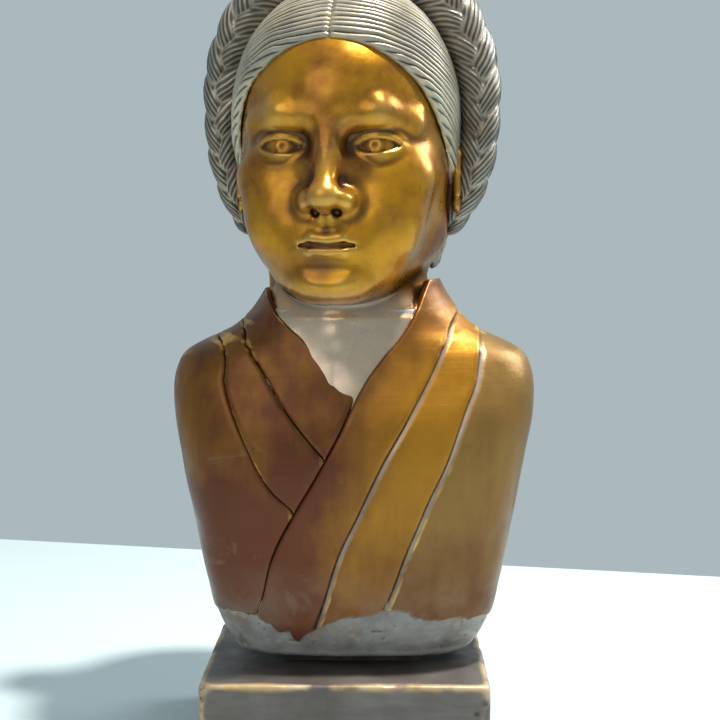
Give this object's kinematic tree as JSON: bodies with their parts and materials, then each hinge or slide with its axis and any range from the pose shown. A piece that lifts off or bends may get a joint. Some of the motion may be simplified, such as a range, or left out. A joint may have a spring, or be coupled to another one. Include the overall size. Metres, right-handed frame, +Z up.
{
  "type": "papier-mache bust on a plinth",
  "caption": "Papier-mache bust with braided hair and a crossed-lapel robe, paper shells on a wood and steel armature, standing on a rectangular plinth.",
  "frame": {"origin": "centre of the plinth's resting face, on the base card's underside", "axes": "+Z up the figure, +X towards the figure's left shoulder, the figure faces -Y"},
  "size_m": [0.197, 0.162, 0.4427],
  "materials": {
    "base_card": "bare grey board",
    "plinth_lacquer": "lacquered paper, bronze brown, worn to gold on the edges",
    "wood": "bare pine",
    "dark_wood": "stained dark",
    "steel": "plain",
    "bare_paper": "bare grey paper, rough",
    "bronze_robe": "lacquered paper, amber over bronze brown, semi-gloss",
    "bronze_skin": "lacquered paper, amber, gloss",
    "grey_hair": "lacquered paper pulp, grey bronze, semi-gloss"
  },
  "bodies": {
    "root": {"base_card": "base_card", "plinth_skin": "plinth_lacquer", "plinth_top": "wood", "plinth_front": "wood", "plinth_back": "wood", "plinth_left": "wood", "plinth_right": "wood", "plinth_bottom": "wood", "plinth_glue_blocks": "wood", "torso_base_board": "wood", "shoulder_batten": "wood", "neck_post": "wood", "crown_disc": "wood", "foot_spacer": "dark_wood", "plinth_screws": "steel", "armature_rod": "steel", "rod_nuts": "steel", "rod_washers": "steel", "crown_screw": "steel", "torso_front_shell": "bare_paper", "torso_back_shell": "bare_paper", "robe_back": "bronze_robe", "robe_left_front": "bronze_robe", "robe_right_front": "bronze_robe", "collar_left_inner": "bronze_robe", "collar_left_outer": "bronze_robe", "collar_right_inner": "bronze_robe", "collar_right_outer": "bronze_robe", "collar_back": "bronze_robe", "head_front": "bronze_skin", "head_back": "bronze_skin", "ear_left": "bronze_skin", "ear_right": "bronze_skin", "hair_left": "grey_hair", "hair_right": "grey_hair", "hair_back": "grey_hair", "braid_left": "grey_hair", "braid_right": "grey_hair"}
  },
  "joints": []
}
